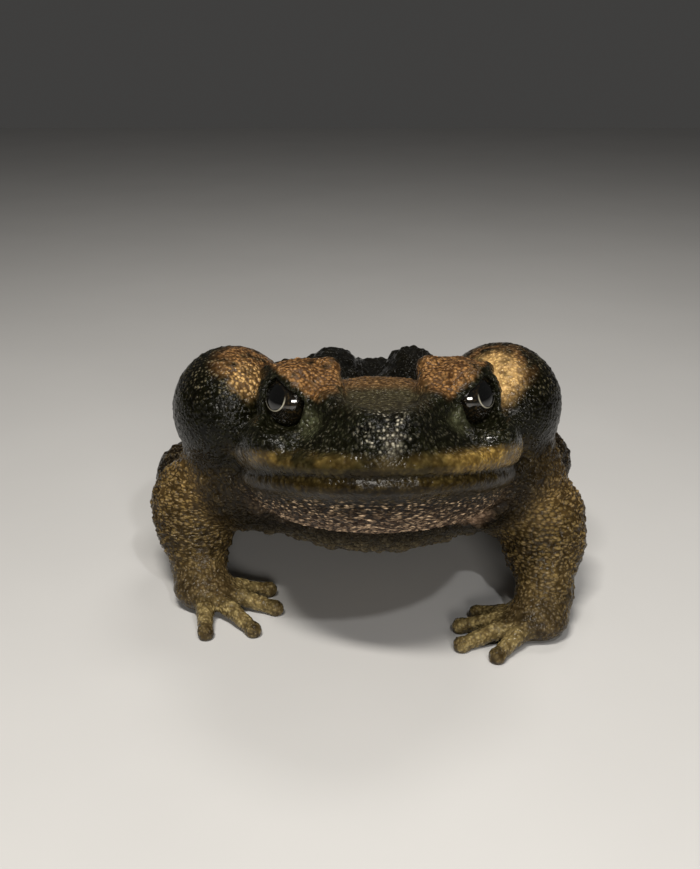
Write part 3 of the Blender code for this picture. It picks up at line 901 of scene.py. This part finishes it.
def bead_and_glint_tone(skin, marks, tone):
    """The colour of the tops of the pale grains, nowhere darker than the skin's own, with painted glints on
    those of the snout.
    """
    pale = np.clip(marks.throat + marks.nape, 0, 1)
    bead = mix(skin.by_zone(BEAD_COLOUR), np.array(BEAD_PALE), pale)
    return np.maximum(mix(bead, np.array(BEAD_GLINT), 0.85 * marks.snout), 1.25 * tone)


def colours(skin, rise, crease):
    """The colours that are stored on the skin, by the names under which its material reads them."""
    marks = Marks(skin)
    tone = skin_tone(skin, marks, rise)
    return {
        "tone": tone,
        "finish": skin_wetness_grains_and_shade(skin, marks, crease),
        "grain": skin_grain_and_crease_shade(skin, marks, tone),
        "bead": bead_and_glint_tone(skin, marks, tone),
    }


def store(mesh, name, values):
    """Keep a colour for each vertex under a name that a material reads."""
    layer = mesh.color_attributes.new(name, "FLOAT_COLOR", "POINT")
    filled = np.ones((len(values), 4), np.float32)
    filled[:, :3] = values
    layer.data.foreach_set("color", filled.ravel())


def add(tree, kind, settings=None, **inputs):
    """A shader node with its settings, and its inputs either linked or set. Names use _ for a space."""
    made = tree.nodes.new(kind)
    for name, value in (settings or {}).items():
        setattr(made, name, value)
    for name, value in inputs.items():
        if name.startswith("in"):
            socket = made.inputs[int(name[2:])]
        else:
            socket = made.inputs[name.replace("_", " ")]
        if isinstance(value, bpy.types.NodeSocket):
            tree.links.new(value, socket)
        else:
            socket.default_value = value
    return made


def math_node(tree, operation, *values):
    """The output of a maths node. Its values are linked or set."""
    inputs = {f"in{index}": value for index, value in enumerate(values)}
    return add(tree, "ShaderNodeMath", {"operation": operation}, **inputs).outputs[0]


def ranged(tree, value, start, end, low=0.0, high=1.0, kind="LINEAR"):
    """A value taken from the range from start to end into that from low to high, and held within it."""
    made = add(tree, "ShaderNodeMapRange", {"interpolation_type": kind},
               Value=value, From_Min=start, From_Max=end, To_Min=low, To_Max=high)
    return made.outputs["Result"]


def attribute(tree, name):
    return add(tree, "ShaderNodeAttribute", {"attribute_name": name}).outputs["Color"]


def channels(tree, colour):
    parts = add(tree, "ShaderNodeSeparateColor", None, Color=colour).outputs
    return parts["Red"], parts["Green"], parts["Blue"]


# The grains of the skin: how many of the coarse and of the fine ones lie along a metre, how much the fine
# ones rise against the coarse, how a noise shifts them to make them uneven, and how deep they are in metres
COARSE_GRAINS = 720.0
FINE_GRAINS = 1900.0
FINE_SHARE = 0.12
UNEVEN_PER_METRE = 420.0
UNEVEN = 0.0009
GRAIN_DEPTH = 0.0006

# How the grains are scaled along each axis, to draw them out. The stored stretch is above ARM_ABOVE on the
# arms and the throat, and above THROAT_ABOVE on the throat alone
ARM_ABOVE = 0.3
ARM_STRETCH = (0.7, 0.7, 1.35)
THROAT_ABOVE = 0.7
THROAT_STRETCH = (0.8, 1.6, 1.15)

# What the creases multiply the colour by as painted shade, how many patches the film of water has to the
# metre, how rough the skin is where it is dry and where it is wet, and how strongly it reflects
GRAIN_CREASE_SHADE = (0.08, 0.055, 0.045, 1)
DEEP_CREASE_SHADE = (0.20, 0.17, 0.14, 1)
FILM_PER_METRE = 130.0
DRY_ROUGHNESS = 0.34
WET_ROUGHNESS = 0.08
SKIN_SHINE = 0.14


def pebble_group():
    """Rounded grains of skin: a height, a mask of the creases between them and a chance number for each."""
    group = bpy.data.node_groups.new("pebbles", "ShaderNodeTree")
    face = group.interface
    face.new_socket("Place", in_out="INPUT", socket_type="NodeSocketVector")
    face.new_socket("Per Metre", in_out="INPUT", socket_type="NodeSocketFloat")
    face.new_socket("Height", in_out="OUTPUT", socket_type="NodeSocketFloat")
    face.new_socket("Crease", in_out="OUTPUT", socket_type="NodeSocketFloat")
    face.new_socket("Chance", in_out="OUTPUT", socket_type="NodeSocketFloat")
    given = group.nodes.new("NodeGroupInput")
    out = group.nodes.new("NodeGroupOutput")
    place = given.outputs["Place"]
    bend = add(group, "ShaderNodeTexNoise", None, Vector=place, Scale=UNEVEN_PER_METRE, Detail=2.0)
    shift = add(group, "ShaderNodeVectorMath", {"operation": "MULTIPLY_ADD"},
                in0=bend.outputs["Color"], in1=(UNEVEN,) * 3, in2=place)
    cells = add(group, "ShaderNodeTexVoronoi", None,
                Vector=shift.outputs["Vector"], Scale=given.outputs["Per Metre"])
    away = cells.outputs["Distance"]
    group.links.new(ranged(group, away, 0.68, 0.08, kind="SMOOTHSTEP"), out.inputs["Height"])
    group.links.new(ranged(group, away, 0.36, 0.62, kind="SMOOTHSTEP"), out.inputs["Crease"])
    group.links.new(channels(group, cells.outputs["Color"])[0], out.inputs["Chance"])
    return group


def pebbles(tree, group, place, per_metre):
    made = tree.nodes.new("ShaderNodeGroup")
    made.node_tree = group
    tree.links.new(place, made.inputs["Place"])
    made.inputs["Per Metre"].default_value = per_metre
    return made


def multiply(tree, one, other):
    return math_node(tree, "MULTIPLY", one, other)


def blend_colour(tree, share, one, other, kind="MIX"):
    made = add(tree, "ShaderNodeMix", {"data_type": "RGBA", "blend_type": kind})
    for socket, value in zip((made.inputs[0], made.inputs[6], made.inputs[7]), (share, one, other)):
        if isinstance(value, bpy.types.NodeSocket):
            tree.links.new(value, socket)
        else:
            socket.default_value = value
    return made.outputs[2]


def drawn(tree, place, stretch, above, scales):
    """Places scaled along each axis where the stretch is above a value, to draw out the grains there."""
    chosen = math_node(tree, "GREATER_THAN", stretch, above)
    scaled = add(tree, "ShaderNodeVectorMath", {"operation": "MULTIPLY"}, in0=place, in1=scales)
    made = add(tree, "ShaderNodeMix", {"data_type": "VECTOR"}, in0=chosen)
    tree.links.new(place, made.inputs[4])
    tree.links.new(scaled.outputs["Vector"], made.inputs[5])
    return made.outputs[1]


def skin_material():
    material = bpy.data.materials.new("wet_toad_skin")
    material.use_nodes = True
    tree = material.node_tree
    shader = tree.nodes["Principled BSDF"]
    place = tree.nodes.new("ShaderNodeTexCoord").outputs["Object"]
    wet, grains_and_glints, crease = channels(tree, attribute(tree, "finish"))
    bumpy, stretch, crease_shade_depth = channels(tree, attribute(tree, "grain"))
    group = pebble_group()
    drawn_out = drawn(tree, place, stretch, ARM_ABOVE, ARM_STRETCH)
    drawn_out = drawn(tree, drawn_out, stretch, THROAT_ABOVE, THROAT_STRETCH)
    coarse = pebbles(tree, group, drawn_out, COARSE_GRAINS)
    fine = pebbles(tree, group, place, FINE_GRAINS)

    # Painted shade: the creases between the grains, then the deeper creases and grooves, darken the colour
    in_crease_shade = multiply(tree, coarse.outputs["Crease"], crease_shade_depth)
    shaded = blend_colour(tree, in_crease_shade, attribute(tree, "tone"), GRAIN_CREASE_SHADE, "MULTIPLY")
    # Painted shade in the deeper creases and the grooves across the arms
    shaded = blend_colour(tree, multiply(tree, crease, 0.95), shaded, DEEP_CREASE_SHADE, "MULTIPLY")
    pick = ranged(tree, coarse.outputs["Chance"], 0.3, 0.8)
    tops = multiply(tree, coarse.outputs["Height"], coarse.outputs["Height"])
    beads = multiply(tree, multiply(tree, pick, tops), grains_and_glints)
    shaded = blend_colour(tree, beads, shaded, attribute(tree, "bead"))
    tree.links.new(shaded, shader.inputs["Base Color"])

    film = add(tree, "ShaderNodeTexNoise", None, Vector=place, Scale=FILM_PER_METRE, Detail=3.0)
    water = multiply(tree, film.outputs["Fac"], wet)
    rough = ranged(tree, water, 0.1, 0.55, DRY_ROUGHNESS, WET_ROUGHNESS)
    tree.links.new(rough, shader.inputs["Roughness"])

    height = math_node(tree, "MULTIPLY_ADD", fine.outputs["Height"], FINE_SHARE, coarse.outputs["Height"])
    height = multiply(tree, height, bumpy)
    bump = add(tree, "ShaderNodeBump", None, Height=height, Strength=1.0, Distance=GRAIN_DEPTH)
    tree.links.new(bump.outputs["Normal"], shader.inputs["Normal"])
    shader.inputs["Specular IOR Level"].default_value = SKIN_SHINE
    return material


def dressed_skin():
    """The toad's skin, with its warts, folds, colours, wetness, painted shade and painted glints."""
    skin = bare_skin()
    form = Skin(skin.data)
    rise, crease = detail(form)
    places = form.places + form.normals * rise[:, None]
    places[:, 2] = np.maximum(places[:, 2], 0)
    write_places(skin.data, places * MM)
    for name, values in colours(form, rise, crease).items():
        store(skin.data, name, np.clip(values, 0.001, 1))
    skin.data.shade_smooth()
    thin_out(skin, MOST_TRIANGLES)
    skin.data.materials.clear()
    skin.data.materials.append(skin_material())
    return skin


# The way an eye looks: degrees from straight out to the side towards the front, and how far up its pupil is
EYE_GAZE = 48
PUPIL_RISE = 0.055

# The iris and its flecks, and the pupil with its pale rim, painted only along its lower edge as a highlight.
# At the pupil's edge a point's steps from the middle, times PUPIL_WIDE across and PUPIL_TALL up, have squares
# that add up to PUPIL_EDGE
IRIS = (0.004, 0.0035, 0.0025, 1)
GOLD = (0.035, 0.022, 0.008, 1)
PUPIL = (0.0015, 0.0015, 0.0015, 1)
PUPIL_RIM_HIGHLIGHT = (0.34, 0.32, 0.25, 1)
PUPIL_WIDE = 1.3
PUPIL_TALL = 1.25
PUPIL_EDGE = 0.088


def eye_material():
    """A near black iris flecked with gold, a level black pupil, and a wet gloss over both."""
    material = bpy.data.materials.new("wet_eye")
    material.use_nodes = True
    tree = material.node_tree
    shader = tree.nodes["Principled BSDF"]
    look = attribute(tree, "look")
    across, up, _ = channels(tree, look)
    flecks = add(tree, "ShaderNodeTexNoise", None, Vector=look, Scale=26.0, Detail=5.0)
    gold = ranged(tree, flecks.outputs["Fac"], 0.5, 0.75)
    iris = blend_colour(tree, gold, IRIS, GOLD)
    wide = multiply(tree, math_node(tree, "SUBTRACT", across, 0.5), PUPIL_WIDE)
    tall = multiply(tree, math_node(tree, "SUBTRACT", up, 0.5), PUPIL_TALL)
    away = math_node(tree, "MULTIPLY_ADD", tall, tall, multiply(tree, wide, wide))
    pupil = ranged(tree, away, PUPIL_EDGE + 0.002, PUPIL_EDGE - 0.010, kind="SMOOTHSTEP")
    edge = math_node(tree, "ABSOLUTE", math_node(tree, "SUBTRACT", away, PUPIL_EDGE))
    rim = ranged(tree, edge, 0.012, 0.003, kind="SMOOTHSTEP")
    # The pale rim shows only along the pupil's lower edge, as a painted highlight
    below = ranged(tree, up, 0.52, 0.40)
    colour = blend_colour(tree, pupil, iris, PUPIL)
    colour = blend_colour(tree, multiply(tree, rim, below), colour, PUPIL_RIM_HIGHLIGHT)
    tree.links.new(colour, shader.inputs["Base Color"])
    shader.inputs["Roughness"].default_value = 0.08
    shader.inputs["Coat Weight"].default_value = 1.0
    shader.inputs["Coat Roughness"].default_value = 0.02
    return material


def eyeball(word, side, material):
    """A round eyeball, which keeps each point's place across the iris for its material."""
    bm = bmesh.new()
    bmesh.ops.create_uvsphere(bm, u_segments=64, v_segments=40, radius=EYE_RADIUS)
    gaze = math.radians(EYE_GAZE)
    out = Vector((side * math.cos(gaze), -math.sin(gaze), 0))
    spots = []
    middle = HEAD_AT + HEAD_TURN @ Vector((side * EYE_AT[0], *EYE_AT[1:]))
    across = Vector((0, 0, 1)).cross(out)
    for vertex in bm.verts:
        direction = vertex.co.normalized()
        up = 0.5 + 0.5 * direction.z - PUPIL_RISE
        spots.append((0.5 + 0.5 * direction.dot(across), up, 0.5 + 0.5 * direction.dot(out)))
        vertex.co = middle + HEAD_TURN @ vertex.co
        vertex.co *= MM
    eye = piece_from(bm, "eyeball_" + word)
    store(eye.data, "look", np.array(spots))
    eye.data.shade_smooth()
    eye.data.materials.append(material)
    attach(eye, "root")
    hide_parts("eye_" + word)


# The camera stands as in the photo: level across, looking down at the mouth
FOCAL_PIXELS = 1080
PHOTO_SIZE = (700, 869)
CAMERA_AWAY = 400
CAMERA_DOWN = math.radians(22)
MOUTH_PIXEL = (377, 459)


def place_camera():
    ahead = Vector((0, math.cos(CAMERA_DOWN), -math.sin(CAMERA_DOWN)))
    above = Vector((0, math.sin(CAMERA_DOWN), math.cos(CAMERA_DOWN)))
    across = Vector((1, 0, 0))
    per_mm = FOCAL_PIXELS / CAMERA_AWAY
    right = (MOUTH_PIXEL[0] - PHOTO_SIZE[0] / 2) / per_mm
    down = (MOUTH_PIXEL[1] - PHOTO_SIZE[1] / 2) / per_mm
    place = HEAD_AT - ahead * CAMERA_AWAY - across * right + above * down
    data = bpy.data.cameras.new("camera")
    data.sensor_width = 36
    data.lens = data.sensor_width * FOCAL_PIXELS / PHOTO_SIZE[1]
    data.clip_start = 0.01
    camera = bpy.data.objects.new("camera", data)
    turn = Matrix((across, above, -ahead)).transposed().to_4x4()
    camera.matrix_world = Matrix.Translation(place * MM) @ turn
    bpy.context.scene.collection.objects.link(camera)
    bpy.context.scene.camera = camera


# The studio, in metres: half the floor's side, and the place that the lights face
FLOOR_HALF = 1.6
LIT_PLACE = Vector((0, -0.09, 0.05))


def soft_light(name, place, size, power, colour):
    data = bpy.data.lights.new(name, "AREA")
    data.shape = "RECTANGLE"
    data.size, data.size_y = size
    data.energy = power
    data.color = colour
    light = bpy.data.objects.new(name, data)
    light.location = place
    light.rotation_euler = (LIT_PLACE - Vector(place)).to_track_quat("-Z", "Y").to_euler()
    bpy.context.scene.collection.objects.link(light)


def floor_material():
    material = bpy.data.materials.new("pale_floor")
    material.use_nodes = True
    tree = material.node_tree
    shader = tree.nodes["Principled BSDF"]
    place = tree.nodes.new("ShaderNodeTexCoord").outputs["Object"]
    mottle = add(tree, "ShaderNodeTexNoise", None, Vector=place, Scale=9.0, Detail=4.0)
    tint = ranged(tree, mottle.outputs["Fac"], 0.0, 1.0, 0.48, 0.53)
    shade = add(tree, "ShaderNodeCombineColor", None, Red=tint, Green=tint, Blue=tint)
    tree.links.new(shade.outputs["Color"], shader.inputs["Base Color"])
    shader.inputs["Roughness"].default_value = 0.7
    return material


def studio():
    """A plain pale floor, with soft lights above the toad, in front of it and behind it."""
    bm = bmesh.new()
    bmesh.ops.create_grid(bm, x_segments=2, y_segments=2, size=FLOOR_HALF)
    floor = piece_from(bm, "floor")
    floor.data.materials.append(floor_material())
    world = bpy.data.worlds.new("studio")
    world.use_nodes = True
    background = world.node_tree.nodes["Background"]
    background.inputs["Color"].default_value = (1, 0.98, 0.95, 1)
    background.inputs["Strength"].default_value = 0.05
    bpy.context.scene.world = world
    bpy.context.scene.view_settings.view_transform = "Standard"
    soft_light("key", (-0.10, -0.45, 0.75), (0.24, 0.06), 6.2, (1, 0.95, 0.87))
    soft_light("front", (0.10, -0.95, 0.30), (0.3, 0.12), 3.2, (1, 0.95, 0.88))
    soft_light("glint", (0.16, -0.55, 0.62), (0.03, 0.03), 1.2, (1, 0.98, 0.95))
    soft_light("top", (0.12, 0.20, 0.80), (0.3, 0.2), 1.6, (1, 0.96, 0.9))


place_camera()
studio()
toad = dressed_skin()
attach(toad, "root")
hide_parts(*(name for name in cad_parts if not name.startswith("eye_")))
wet_eye = eye_material()
for eye_word, eye_side in (("left", 1), ("right", -1)):
    eyeball(eye_word, eye_side, wet_eye)

bpy.context.view_layer.update()
